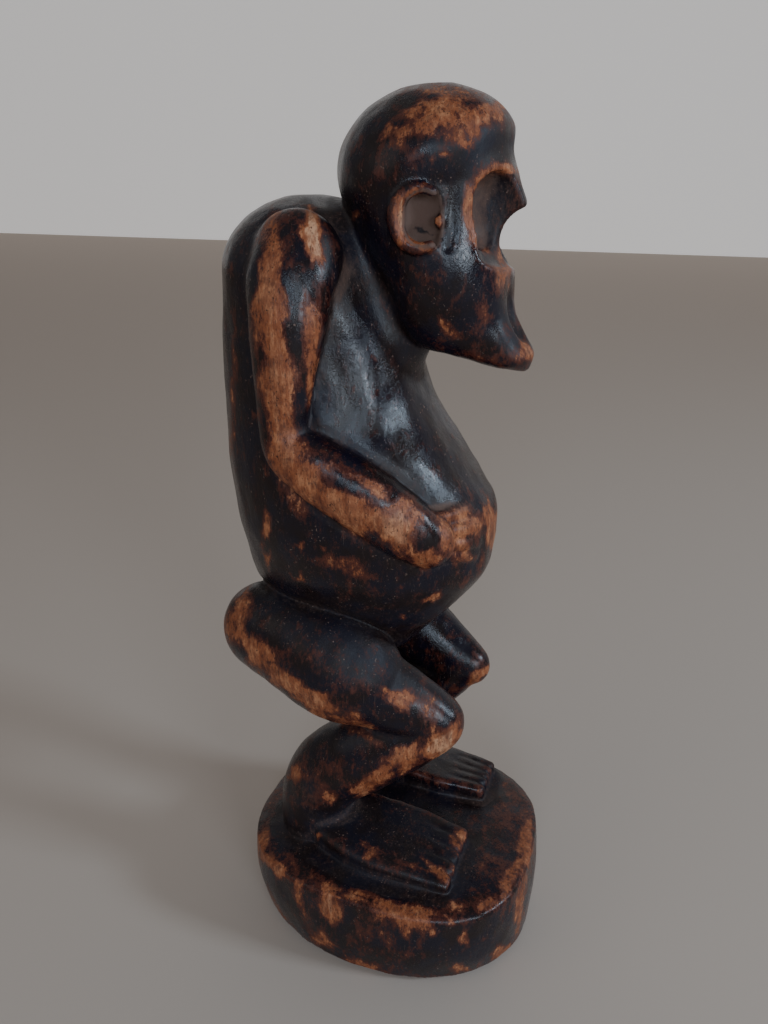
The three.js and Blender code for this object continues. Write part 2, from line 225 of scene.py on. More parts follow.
# %% [markdown]
# ## Limbs and eggs
# A limb is a round rod whose radius changes along a smooth line, so a few points say where a thigh swells.
# An egg can be added as a soft lump or, more often here, cut away as a scoop of the gouge.

# %% Limbs and eggs
SMALLEST = 1e-6


def both_sides(points, side):
    return [(side * point[0], *point[1:]) for point in points]


def smooth_line(points, per=8):
    """More points along a smooth line through the given ones, radius included."""
    p = np.array(points, float)
    rows = []
    for i in range(len(p) - 1):
        a, b, c, d = p[max(i - 1, 0)], p[i], p[i + 1], p[min(i + 2, len(p) - 1)]
        for u in np.linspace(0, 1, per, endpoint=False):
            rows.append(0.5 * (2 * b + (c - a) * u + (2 * a - 5 * b + 4 * c - d) * u * u
                               + (3 * b - a - 3 * c + d) * u ** 3))
    return np.array(rows + [p[-1]])


def limb(points, depth=1.0, per=6):
    """A round limb along a smooth line; depth below one flattens it sideways."""
    line = smooth_line(points, per)
    squeeze = np.array((depth, 1, 1))
    reach = line[:, 3:4] * squeeze

    def distance(x, f, z):
        best = np.float32(FAR_AWAY)
        for a, b in zip(line[:-1], line[1:]):
            start, step = a[:3] / squeeze, (b[:3] - a[:3]) / squeeze
            px, pf, pz = x / depth - start[0], f - start[1], z - start[2]
            share = (px * step[0] + pf * step[1] + pz * step[2]) / max(step @ step, SMALLEST)
            share = np.clip(share, 0, 1)
            away = np.sqrt((px - share * step[0]) ** 2 + (pf - share * step[1]) ** 2
                           + (pz - share * step[2]) ** 2)
            best = np.minimum(best, away - a[3] - (b[3] - a[3]) * share)
        return best * depth

    return Form((line[:, :3] - reach).min(0), (line[:, :3] + reach).max(0), distance)


def egg(centre, radii, lean=0.0, square=2.0):
    """An egg with its own radii along x, forward and up.

    It may lean by some degrees, lower end forward, and a higher squareness makes it boxier."""
    sin, cos = math.sin(math.radians(lean)), math.cos(math.radians(lean))
    centre, radii = np.array(centre, float), np.array(radii, float)
    room = radii if lean == 0 else np.array((radii[0], max(radii[1:]), max(radii[1:])))

    def distance(x, f, z):
        px, pf, pz = x - centre[0], f - centre[1], z - centre[2]
        pf, pz = pf * cos + pz * sin, pz * cos - pf * sin
        near = (np.abs(px / radii[0]) ** square + np.abs(pf / radii[1]) ** square
                + np.abs(pz / radii[2]) ** square) ** (1 / square)
        steep = np.sqrt((px / radii[0] ** 2) ** 2 + (pf / radii[1] ** 2) ** 2 + (pz / radii[2] ** 2) ** 2)
        return near * (near - 1) / np.maximum(steep, SMALLEST)

    return Form(centre - room, centre + room, distance)


print("5 mm outside an egg the field reads", round(float(egg((0, 0, 0), (10, 10, 10))(15.0, 0.0, 0.0)), 2))

# %% [markdown]
# ## Blocks that melt into each other
# Parts that grow out of one another, such as a thigh out of the buttock, are carved in blocks of their own
# and melted together afterwards. Where a carver draws the knife along a seam, the wood beside it sinks a
# little, so a line can be pressed in first. All sizes are millimetres and nearly those of the plain solid.
# Points are x, forward and up, and a fourth number is a radius. A finer grid shows finer cuts and is slower.

# %% Melt two blocks
GRID = 0.85      # millimetres from cell to cell
ROOM = (-60, -76, -4), (52, 60, 306)
SIDES = (-1, 1)                         # the figure's right, which the photograph shows, and its left


def new_block():
    return Block(*ROOM, GRID)


def melt(block, other, blend, line=0.0, width=3.0):
    """Melt two blocks together; a knife line may first sink the wood beside the seam."""
    if line:
        block.field += line * np.clip(1 - np.abs(other.field) / width, 0, 1) ** 2
    block.field = soft_min(block.field, other.field, blend)


def volume(block):
    return f"{(block.field < 0).sum() * GRID ** 3 / 1000:.0f} cm3"


print("cells in a block:", new_block().field.size)

# %% [markdown]
# ## The base
# A low block with nearly upright sides, its top a little dished and its rim rounded by handling. A bevelled
# box or a turned disc would be too regular, so it is a body over three sections. It reaches a little
# farther out on the figure's right side than on its left.

# %% Base
BASE_HEIGHT = 41
BASE_SIDE_SHIFT = -5.5
BASE_ROWS = [
    (-41, 51.0, -56.2, 46.0, 2.85),
    (-20, 53.1, -59.3, 46.2, 2.45),
    (0, 51.8, -59.0, 43.0, 2.1),
]
DISH = (BASE_SIDE_SHIFT, 22, 64), (44, 34, 24.4)

lower = new_block()
plain_base = body(BASE_ROWS, -BASE_HEIGHT, 0, round_start=5.5, round_end=3, curve=2.3, shift=BASE_SIDE_SHIFT)
lower.add(plain_base, blend=1)
lower.cut(egg(*DISH), blend=6)
print("base:", volume(lower))

# %% [markdown]
# ## The feet
# Each foot is a low wedge that spreads toward squared toes and is hardly higher than the base. Its edges
# are read from a short table, its top is a plane that falls forward and outward, and four grooves part the
# toes. Toes modelled one by one would be too round: these are cut with a knife.

# %% Feet
HEEL, TOE_END = -30, 28
HEEL_RISE, TOE_RISE = 10, 4.6
OUTWARD_FALL = 2.4
FOOT_EDGES = [(-30, 12, 29), (-24, 10, 33.5), (-12, 9, 37.5), (-2, 8, 38.6), (10, 8, 38), (29, 11, 36.4)]
OUTER_EDGE_MORE = {-1: 1.5, 1: -4}      # the right foot is the broader one
FLANK_SLOPE, TOP_SLOPE = 0.75, 0.95      # how a step outward or upward counts as distance
FOOT_REACH = (4, 46)                    # room sideways, and below and above the top of the base
FOOT_ROOT, FOOT_CEILING = 8, 12
TOES = 5
TOE_CUT = [(8, 1.3, 0.8), (17, 0.6, 1.0), (26.4, 0.2, 1.1), (28.2, -3.4, 1.0)]      # forward, lift, radius


def foot_edges(f, side):
    """Inner and outer edge of a foot at a distance forward."""
    along, inner, outer = (list(column) for column in zip(*FOOT_EDGES))
    return np.interp(f, along, inner), np.interp(f, along, outer) + OUTER_EDGE_MORE[side]


def foot_top(f, share):
    u = (f - HEEL) / (TOE_END - HEEL)
    return BASE_HEIGHT + HEEL_RISE - (HEEL_RISE - TOE_RISE) * u - OUTWARD_FALL * share ** 2


def foot(side):
    """A low wedge that slopes down toward the toes and the outer edge."""
    def distance(x, f, z):
        out = side * x
        inner, outer = foot_edges(f, side)
        share = np.clip((out - inner) / (outer - inner), 0, 1.2)
        sides = soft_max(inner - out, (out - outer) * FLANK_SLOPE, width=3)
        wedge = soft_max(sides, (z - foot_top(f, share)) * TOP_SLOPE, width=2.2)
        ends = soft_max(f - TOE_END, HEEL - f, width=2)
        return soft_max(wedge, ends, width=1.4)

    left, right = sorted(side * reach for reach in FOOT_REACH)
    return Form((left, HEEL, BASE_HEIGHT - FOOT_ROOT), (right, TOE_END + 1, BASE_HEIGHT + FOOT_CEILING),
                distance)


def toe_groove(side, number):
    """One knife cut between two toes, along the top and down over the end."""
    share = number / TOES
    line = []
    for f, lift, radius in TOE_CUT:
        inner, outer = foot_edges(f, side)
        line.append((side * (inner + share * (outer - inner)), f, foot_top(f, share) + lift, radius))
    return limb(line, per=3)


feet = new_block()
for side in SIDES:
    feet.add(foot(side), blend=1)
    for number in range(1, TOES):
        feet.cut(toe_groove(side, number), blend=0.5)
melt(lower, feet, blend=2.0, line=0.4, width=2.5)
print("with feet:", volume(lower))

# %% [markdown]
# ## The legs
# Thick folded legs carry the squat: the thigh runs from the buttock forward and down, the lower leg back
# from the knee to the heel. A rod along a smooth line gives their swelling with a few points. The far knee
# is the more pointed one, as its outline in the photograph asks.

# %% Legs
THIGH = [(17.5, -49, 121.5, 17.8), (20, -35.5, 120, 20.2), (23.5, -19, 116.5, 21), (22.5, -8, 110.3, 16),
         (21, 2, 105.5, 13.6), (19.5, 9.5, 101.8, 12.2), (18.4, 15, 98.4, 11)]
FAR_THIGH_END = [(19.5, 9.5, 101.8, 11.8), (18.4, 17.2, 99.6, 8.8)]
THIGH_DEPTH = 0.8
SHIN = [(18.4, 14, 94.5, 10.3), (20, 2, 86.5, 12.5), (20.6, -11, 78.5, 15), (21, -23, 68, 15),
        (21.3, -29.5, 57, 14), (21.5, -31, 46, 13.6), (21.5, -31, 38, 13.6)]
FAR_SHIN_TOP = [(18.4, 12, 94.8, 8.8), (20, 1.4, 86.5, 12)]
SHIN_DEPTH = 0.9


def two_limbs(right, left, depth):
    """One limb for each side in a new block; both are given with x away from the middle."""
    block = new_block()
    for points, side in zip((right, left), SIDES):
        block.add(limb(both_sides(points, side), depth=depth), blend=1)
    return block


shins = two_limbs(SHIN, FAR_SHIN_TOP + SHIN[2:], SHIN_DEPTH)
thighs = two_limbs(THIGH, THIGH[:-2] + FAR_THIGH_END, THIGH_DEPTH)
melt(lower, shins, blend=1.4, line=0.3)
melt(lower, thighs, blend=2.0, line=0.8)
print("with legs:", volume(lower))

# %% [markdown]
# ## The trunk
# The back is one long hunched curve, the chest falls steeply to a round belly, and the belly is undercut
# down to the crotch. Ten sections say all of it. Grooves behind the arms and hollows under them are cut
# into it before the arms are there, as room for them.

# %% Trunk
TRUNK_ROWS = [
    (-272, -12, -60, 29, 2.1),
    (-250, -8.5, -61.5, 33, 2.1),
    (-230, -2, -63.8, 31.5, 2.2),
    (-210, 4.4, -65.0, 32, 2.2),
    (-190, 17.6, -65.1, 35, 2.2),
    (-170, 28.6, -63.7, 36.5, 2.15),
    (-155, 27.6, -61.6, 34, 2.1),
    (-140, 18.8, -59, 27, 2.1),
    (-122, 3.5, -53, 21, 2.1),
    (-112, -2, -48, 18, 2.1),
]
TRUNK_ENDS = (-270.5, -112)
NECK = [(0, -8, 262, 14), (0, -4, 246, 14), (0, -6, 232, 12)]
PELVIS = (0, -40, 127), (24, 16.5, 18)
ARM_GROOVE = [(38.5, -43, 256, 3), (38, -42, 240, 3.6), (37.5, -40, 224, 3.6), (37, -39.5, 206, 3)]
ARMPIT = [(36, -9, 238, 5), (35, -9.5, 226, 7.5), (35, -8.5, 213, 6), (36, -7, 205, 3)]

wood = new_block()
wood.add(body(TRUNK_ROWS, *TRUNK_ENDS, round_start=22, round_end=10, curve=2.2), blend=1)
wood.add(limb(NECK), blend=8)
wood.add(egg(*PELVIS), blend=5)
for side in SIDES:
    wood.cut(limb(both_sides(ARM_GROOVE, side)), blend=4)
    wood.cut(limb(both_sides(ARMPIT, side)), blend=8)
print("trunk:", volume(wood))

# %% [markdown]
# ## Arms and hands
# The arms are flat bands that stand proud of the back, bend sharply at the elbow and lie along the belly.
# The hands are four ridges each. A jointed arm would be more than a carving needs: a line of points with
# radii holds it all. The far forearm is set back a little, as its outline in the photograph asks.

# %% Arms and hands
ARM = [(24.5, -28, 254, 13.5), (30, -28.5, 246, 13.2), (33, -28.2, 236, 11.8), (34.3, -28.8, 226, 10.2),
       (35, -29.5, 216, 8.8), (35, -30, 206, 7.8), (34.9, -27.5, 198.5, 8.8), (34.5, -17, 192, 10.4),
       (32.6, -4, 184.5, 10.8), (29, 6, 176.3, 10.4), (25.5, 13, 171, 9)]
ARM_DEPTH = 0.75
FAR_ARM_BACK = [0, 0, 0, 0, 0, 0.5, 1.5, 3, 4, 4.5, 4.5]
FINGERS = [                             # height of knuckle and of tip, how far forward, radius
    (178.4, 177.4, 21.4, 2.5),
    (174.4, 171.6, 24.0, 2.5),
    (170.6, 166.2, 24.6, 2.4),
    (167.2, 161.4, 24.0, 2.2),
]
KNUCKLE_OUT, KNUCKLE_FORWARD, KNUCKLE_DROP = 25, 14.6, 0.5
MIDDLE_OUT, MIDDLE_BACK = 18.5, 2.8
TIP_OUT = 10.8
FAR_FINGERS_BACK, FAR_KNUCKLE_SHARE = 1.6, 0.6

arms = new_block()
for side in SIDES:
    back = FAR_ARM_BACK if side > 0 else [0] * len(ARM)
    arm = [(x, f - less, z, radius) for (x, f, z, radius), less in zip(ARM, back)]
    arms.add(limb(both_sides(arm, side), depth=ARM_DEPTH), blend=1.5)
    for knuckle, tip, front, radius in FINGERS:
        front -= FAR_FINGERS_BACK if side > 0 else 0
        root = KNUCKLE_FORWARD - back[-1] * FAR_KNUCKLE_SHARE
        finger = [(KNUCKLE_OUT, root, knuckle - KNUCKLE_DROP, radius),
                  (MIDDLE_OUT, front - MIDDLE_BACK, (knuckle + tip) / 2, radius),
                  (TIP_OUT, front, tip, radius)]
        arms.add(limb(both_sides(finger, side)), blend=0.4)
melt(wood, arms, blend=1.4, line=0.6, width=5)
print("trunk with arms:", volume(wood))

# %% [markdown]
# ## The head
# A bald egg leans forward and runs out into a pointed jaw. Two planes flatten the temples, a broad notch
# under the brow sets off the nose, two scoops make the eyes, and one hollows the profile above the chin.
# A sculpted mesh would need many strokes for this: here a few cuts in the right order do it.

# %% Head
HEAD_PIVOT, HEAD_LEAN = (5, 262), 30
HEAD_ROWS = [
    (-37.4, 29.6, -25.0, 25.0, 2.05),
    (-13, 32.7, -19.9, 26.2, 2.05),
    (-6, 29.2, -20.8, 25.6, 2.05),
    (1, 28.0, -21.6, 25.2, 2.05),
    (7, 27.5, -20.9, 24.6, 2.1),
    (12, 25.6, -21.0, 23.6, 2.2),
    (20, 16.6, -20.8, 21.0, 2.5),
    (25, 13.4, -20.0, 18.8, 2.8),
    (30, 10.9, -18.0, 16.2, 2.9),
    (35.3, 9.8, -12.0, 13.8, 2.8),
    (41, 9.8, -5.8, 11.4, 2.6),
    (47, 10.2, 0.3, 8.4, 2.3),
    (50.7, 9.0, 3.6, 5.8, 2.0),
]
HEAD_CROWN, HEAD_CHIN = HEAD_ROWS[0][0], HEAD_ROWS[-1][0]
TEMPLE_PLACE, TEMPLE_FACING = 25.1, (0.857, 0.514)
TEMPLE_ROOM = (-30, 4, 215), (30, 45, 295)
CROWN_START, CROWN_SPREAD = 274, 0.45       # above this height the planes stand farther apart
JAW_START, JAW_SPREAD, JAW_REACH = 268, 0.15, 30
CHEEK = [(12.2, 15.6, 273, 6.0), (12.4, 14.4, 265, 6.8), (11.8, 14.9, 257, 7.2), (10.4, 17.6, 249.5, 7.2),
         (8.6, 21.4, 243, 6.2)]
EYE_NOTCH = [(-14, 30.5, 259.5, 8), (-7, 33.5, 259, 9.3), (0, 35.6, 258.3, 9.8), (7, 33, 259, 10),
             (14, 29.5, 259.5, 10)]
EYE_SOCKET, SOCKET_SQUARE = ((9.8, 28, 266.6), (7.6, 10.5, 10.8)), 2.6
JAW_SCOOP, SCOOP_LEAN = ((0, 37.9, 239.5), (8.4, 9.4, 11.5)), 15


def temples():
    """The space outside two upright planes that close in toward the face."""
    def distance(x, f, z):
        apart = (TEMPLE_PLACE + CROWN_SPREAD * np.maximum(z - CROWN_START, 0)
                 + JAW_SPREAD * np.clip(JAW_START - z, 0, JAW_REACH))
        return apart - TEMPLE_FACING[0] * np.abs(x) - TEMPLE_FACING[1] * f

    return Form(*TEMPLE_ROOM, distance)


def side_egg(size, side, square=2.0):
    (x, f, z), radii = size
    return egg((side * x, f, z), radii, square=square)


head = new_block()
plain_head = body(HEAD_ROWS, HEAD_CROWN, HEAD_CHIN, round_start=23, round_end=5, curve=1.92,
                  pivot=HEAD_PIVOT, lean=HEAD_LEAN)
head.add(plain_head, blend=1)
head.cut(temples(), blend=3)
for side in SIDES:
    head.add(limb(both_sides(CHEEK, side)), blend=3)
head.cut(limb(EYE_NOTCH), blend=0.8)
for side in SIDES:
    head.cut(side_egg(EYE_SOCKET, side, SOCKET_SQUARE), blend=0.7)
head.cut(egg(*JAW_SCOOP, lean=SCOOP_LEAN), blend=0.4)
print("head:", volume(head))

# %% [markdown]
# ## The ears
# Each ear is a recess with a C-shaped ridge around it, open toward the face, a thin slit in its floor and a
# small lobe at the front. A valley parts it from the cheek. A carver leaves the ridge standing while the
# wood beside it goes. Here it is added after the cuts, and a blend melts its foot into the head.

# %% Ears
VALLEY = [(20.4, 18.4, 275, 0.5), (20.9, 17.4, 269, 1.4), (20.9, 16.6, 263, 1.3), (20.9, 16.0, 258, 0.4)]
EAR_RECESS, RECESS_SQUARE = ((23.6, 9.8, 265.2), (4.2, 5.6, 8.2)), 2.3
EAR_SLIT = [(20.1, 6.5, 263.0, 0.8), (20.2, 11.8, 260.6, 0.9)]
EAR_LOBE = (20.9, 13.4, 264.5), (1.6, 1.4, 1.9)
EAR_RIM = (25.2, 9, 265.3)
RIM_FORWARD, RIM_UP, RIM_TILT = 7.0, 7.7, 0.06
RIM_ENDS, RIM_POINTS = (62, 296), 13        # degrees around the ear from straight forward
RIM_THIN, RIM_SWELL = 1.25, 0.4


def ear_rim(side):
    """A C-shaped ridge, open toward the face and thickest at the back."""
    x, f, z = EAR_RIM
    line = []
    for angle in np.radians(np.linspace(*RIM_ENDS, RIM_POINTS)):
        ahead = RIM_FORWARD * math.cos(angle)
        line.append((side * (x - RIM_TILT * (ahead + RIM_FORWARD)), f + ahead, z + RIM_UP * math.sin(angle),
                     RIM_THIN + RIM_SWELL * (1 - math.cos(angle))))
    return limb(line, per=2)


for side in SIDES:
    head.cut(limb(both_sides(VALLEY, side)), blend=2.5)
    head.cut(side_egg(EAR_RECESS, side, RECESS_SQUARE), blend=0.4)
    head.cut(limb(both_sides(EAR_SLIT, side), per=2), blend=0.2)
    head.add(side_egg(EAR_LOBE, side), blend=0.5)
    head.add(ear_rim(side), blend=0.8)
print("head with ears:", volume(head))

# %% [markdown]
# ## One carving
# Trunk, legs and head are one block in the real figure. The seam between belly and thighs was left crisp,
# so it gets a small blend and a strong knife line, and the head grows out of the shoulders with a wide one.

# %% The whole figure
melt(wood, lower, blend=0.8, line=1.6, width=4)
melt(wood, head, blend=3.0, line=0.8)
print("carved", wood.field.size, "cells,", volume(wood))

# %% [markdown]
# ## From distances to a mesh
# The surface is where the distance is nought. A library for volumes walks through the grid and lays faces
# along it. The grid is finer than needed on the broad forms, so the mesh is thinned afterwards and keeps
# its faces where the surface bends.

# %% Mesh
FACE_LIMIT = 190000
SURFACE_DISTANCE, EVENNESS = 0.0, 0.0       # where the skin lies, and faces of even size


def link(name, data):
    made = bpy.data.objects.new(name, data)
    bpy.context.scene.collection.objects.link(made)
    return made


def skin(block, name):
    grid = openvdb.FloatGrid()
    grid.copyFromArray(block.field)
    points, triangles, quads = grid.convertToPolygons(SURFACE_DISTANCE, EVENNESS)
    points = points * block.step + block.low
    points[:, 1] *= -1
    mesh = bpy.data.meshes.new(name)
    mesh.from_pydata((points * MM).tolist(), [], triangles.tolist() + quads.tolist())
    mesh.update()
    if sum(p.area * p.normal.dot(p.center) for p in mesh.polygons) < 0:
        mesh.flip_normals()
    return mesh


def settled(piece):
    """The mesh of a piece with its modifiers worked in."""
    bpy.context.view_layer.update()
    return bpy.data.meshes.new_from_object(piece.evaluated_get(bpy.context.evaluated_depsgraph_get()))


rough_cut = link("rough_cut", skin(wood, "rough_cut"))
triangle_count = sum(len(p.vertices) - 2 for p in rough_cut.data.polygons)
thin = rough_cut.modifiers.new("thin", "DECIMATE")
thin.ratio = min(1.0, FACE_LIMIT / triangle_count)
thin.use_collapse_triangulate = True
carving_mesh = settled(rough_cut)
bpy.data.objects.remove(rough_cut)
print("mesh:", triangle_count, "triangles thinned to", len(carving_mesh.polygons))

# %% [markdown]
# ## Nodes with less writing
# The finish of the wood is worked out from many weighted sums, and sums of sockets are easier to read as
# sums. One small class wraps a socket so that it can be added and multiplied, and one function makes any
# other node from its type, settings and inputs.

# %% Node writing
MIX_SHARE, MIX_UNDER, MIX_OVER = 0, 6, 7        # sockets of a Mix node when it mixes colours
MIX_RESULT = 2


class Value:
    """A number flowing between nodes."""

    def __init__(self, tree, socket):
        self.tree, self.socket = tree, socket

    def maths(self, operation, *others):
        node = self.tree.nodes.new("ShaderNodeMath")
        node.operation = operation
        for slot, item in zip(node.inputs, (self, *others)):
            plug(self.tree, item, slot)
        return Value(self.tree, node.outputs[0])

    def __add__(self, other):
        return self.maths("ADD", other)

    def __sub__(self, other):
        return self.maths("SUBTRACT", other)

    def __rsub__(self, other):
        return (self * -1) + other

    def __mul__(self, other):
        return self.maths("MULTIPLY", other)

    def __rtruediv__(self, other):
        return self.maths("POWER", -1) * other

    def rises(self, start, end):
        """Nought below the start, one above the end, smooth between."""
        node = self.tree.nodes.new("ShaderNodeMapRange")
        node.interpolation_type = "SMOOTHSTEP"
        plug(self.tree, self, node.inputs["Value"])
        node.inputs["From Min"].default_value, node.inputs["From Max"].default_value = start, end
        return Value(self.tree, node.outputs["Result"])


def plug(tree, item, slot):
    if isinstance(item, Value):
        tree.links.new(item.socket, slot)
    elif isinstance(item, bpy.types.NodeSocket):
        tree.links.new(item, slot)
    else:
        slot.default_value = item


def make(tree, kind, settings=None, inputs=None, output=0):
    """A node of any kind; its inputs are given by name or number as values or links."""
    node = tree.nodes.new(kind)
    for key, value in (settings or {}).items():
        setattr(node, key, value)
    for key, item in (inputs or {}).items():
        plug(tree, item, node.inputs[key])
    found = node.outputs[output]
    return Value(tree, found) if found.type == "VALUE" else found


def blend_colours(tree, share, under, over):
    node = tree.nodes.new("ShaderNodeMix")
    node.data_type = "RGBA"
    plug(tree, share, node.inputs[MIX_SHARE])
    plug(tree, under, node.inputs[MIX_UNDER])
    plug(tree, over, node.inputs[MIX_OVER])
    return node.outputs[MIX_RESULT]


def stretched(tree, vector, scale):
    """A vector multiplied along its axes; a scale below one draws a pattern out along that axis."""
    return make(tree, "ShaderNodeVectorMath", {"operation": "MULTIPLY"}, {0: vector, 1: scale})


def noise(tree, vector, scale, detail=3.0, rough=0.55):
    return make(tree, "ShaderNodeTexNoise", {"noise_dimensions": "3D"},
                {"Vector": vector, "Scale": scale, "Detail": detail, "Roughness": rough}, "Fac")


print("node helpers:", [helper.__name__ for helper in (plug, make, blend_colours, stretched, noise)])

# %% [markdown]
# ## The unevenness of hand work
# A knife leaves shallow scallops and the wood swells between them. Sculpted one by one they would take very
# long, so a tree of geometry nodes moves the surface along its normals by cells and by soft noise. Its
# depths and its seed are inputs, so the same tree could roughen another carving.

# %% Tool marks
SCALLOP_DEPTH, SWELL_DEPTH, GRAIN_DEPTH = 0.0005, 0.0006, 0.00006       # metres
SCALLOP_SIZE = 7.0                                                      # millimetres
SCALLOP_MIDDLE = 0.45               # where in a cell the surface stays as it was
TOOL_SEED = 3.0
SEED_SHIFT = (13.1, 7.7, 3.3)       # how far one step of the seed moves the pattern


def tool_mark_tree(material):
    tree = bpy.data.node_groups.new("tool_marks", "GeometryNodeTree")
    face = tree.interface
    face.new_socket("Geometry", in_out="INPUT", socket_type="NodeSocketGeometry")
    for name, value in (("Scallop depth", SCALLOP_DEPTH), ("Swell depth", SWELL_DEPTH),
                        ("Scallop size", SCALLOP_SIZE), ("Seed", TOOL_SEED)):
        face.new_socket(name, in_out="INPUT", socket_type="NodeSocketFloat").default_value = value
    face.new_socket("Geometry", in_out="OUTPUT", socket_type="NodeSocketGeometry")
    start = tree.nodes.new("NodeGroupInput")
    given = {s.name: (Value(tree, s) if s.type == "VALUE" else s) for s in start.outputs if s.name}

    place = make(tree, "GeometryNodeInputPosition")
    in_mm = make(tree, "ShaderNodeVectorMath", {"operation": "SCALE"}, {0: place, "Scale": 1000.0})
    shift = make(tree, "ShaderNodeVectorMath", {"operation": "SCALE"},
                 {0: SEED_SHIFT, "Scale": given["Seed"]})
    at = make(tree, "ShaderNodeVectorMath", {"operation": "ADD"}, {0: in_mm, 1: shift})
    cells = make(tree, "ShaderNodeTexVoronoi", {"feature": "SMOOTH_F1"},
                 {"Vector": stretched(tree, at, (1, 1, 0.62)), "Scale": 1 / given["Scallop size"],
                  "Smoothness": 0.35}, "Distance")
    swell = noise(tree, at, 0.05, 1.5) - 0.5
    grain = noise(tree, stretched(tree, at, (1, 1, 0.2)), 0.5, 2.0) - 0.5
    depth = (cells - SCALLOP_MIDDLE) * given["Scallop depth"] + swell * given["Swell depth"]
    depth = depth + grain * GRAIN_DEPTH

    normal = make(tree, "GeometryNodeInputNormal")
    offset = make(tree, "ShaderNodeVectorMath", {"operation": "SCALE"}, {0: normal, "Scale": depth})
    moved = make(tree, "GeometryNodeSetPosition", None, {"Geometry": given["Geometry"], "Offset": offset})
    whole = make(tree, "GeometryNodeRealizeInstances", None, {"Geometry": moved})
    clad = make(tree, "GeometryNodeSetMaterial", None, {"Geometry": whole, "Material": material})
    end = tree.nodes.new("NodeGroupOutput")
    tree.links.new(clad, end.inputs["Geometry"])
    return tree


def with_tool_marks(mesh, material, **values):
    worked = link("worked", mesh)
    marks = worked.modifiers.new("tool_marks", "NODES")
    marks.node_group = tool_mark_tree(material)
    for item in marks.node_group.interface.items_tree:
        key = item.name.lower().replace(" ", "_")
        if item.in_out == "INPUT" and key in values:
            marks[item.identifier] = values[key]
    result = settled(worked)
    bpy.data.objects.remove(worked)
    return result


wood_material = bpy.data.materials.new("patinated_wood")
wood_material.use_nodes = True
carving_mesh = with_tool_marks(carving_mesh, wood_material, seed=TOOL_SEED, swell_depth=SWELL_DEPTH)
print("tool marks on", len(carving_mesh.vertices), "vertices")

# %% [markdown]
# ## Staying inside the frame
# The frame is the size that others rely on, so the worked surface may not stand out of its box, and the
# underside stays flat, as a figure that stands on a table is sawn off flat. Clipping the few points that
# stand out is gentler than scaling the whole figure down.

# %% Inside the box
MARGIN = 0.00002                    # metres inside the box on every side but the underside
UNDERSIDE_REACH = 0.0006            # points lower than this belong to the underside


def vertex_places(mesh):
    flat = np.empty(len(mesh.vertices) * 3, np.float32)
    mesh.vertices.foreach_get("co", flat)
    return flat.reshape(-1, 3)


places = vertex_places(carving_mesh)
places = np.clip(places, np.array(cad_low) + [MARGIN, MARGIN, 0], np.array(cad_high) - MARGIN)
places[places[:, 2] < UNDERSIDE_REACH, 2] = cad_low[2]
carving_mesh.vertices.foreach_set("co", places.ravel())
carving_mesh.update()
carving_mesh.shade_smooth()
carving = link("carved_figure", carving_mesh)
print("box of the carving:", np.round(places.min(0) * 1000, 1), np.round(places.max(0) * 1000, 1))

# %% [markdown]
# ## Where hands have worn it
# The patina is gone where the wood stands out and where it was held. How far a spot stands out is read
# from the field: a blurred field minus the field itself is high on edges and low in hollows. Angles
# between faces would say it too, but only for the finest edges, and here broad ridges count as well.

# %% Ridges and hollows
FINE_REACH, FINE_GAIN = 1.4, 4.0        # millimetres, and how strongly it counts
BROAD_REACH, BROAD_GAIN = 4.0, 3.0


def blurred(field, passes):
    for _ in range(passes):
        for axis in range(3):
            field = (np.roll(field, 1, axis) + 2 * field + np.roll(field, -1, axis)) / 4
    return field


def sample(block, field, points):
    """Values of a field at points, read between the cells."""
    at = (points - block.low) / block.step
    cell = np.clip(at.astype(int), 0, np.array(field.shape) - 2)
    share = at - cell
    total = np.zeros(len(points), np.float32)
    for corner in np.ndindex(2, 2, 2):
        weight = np.prod(np.where(corner, share, 1 - share), axis=1)
        total += weight * field[tuple((cell + corner).T)]
    return total


def standing_out(block, points, reach, gain):
    passes = max(1, round(2 * (reach / block.step) ** 2))
    return np.clip(sample(block, blurred(block.field, passes) - block.field, points) / reach * gain, -1, 1)


grid_places = places * 1000 * [1, -1, 1]
fine_ridge = standing_out(wood, grid_places, FINE_REACH, FINE_GAIN)
broad_ridge = standing_out(wood, grid_places, BROAD_REACH, BROAD_GAIN)
print("ridge", np.round(np.percentile(fine_ridge, [2, 50, 98]), 2), "broad",
      np.round(np.percentile(broad_ridge, [2, 50, 98]), 2))

# %% [markdown]
# ## Patches, one by one
# The larger bare patches cannot be worked out from the form, so they are placed where the photograph shows
# them, as ovals of picture points. Seen from the camera each oval falls on the surface behind it, and the
# hidden side takes it mirrored. Dark spots, dust and more or less shine are placed in the same way. A painted
# texture would need an unwrapped mesh; ovals are a few numbers each, and noise frays their edges later.

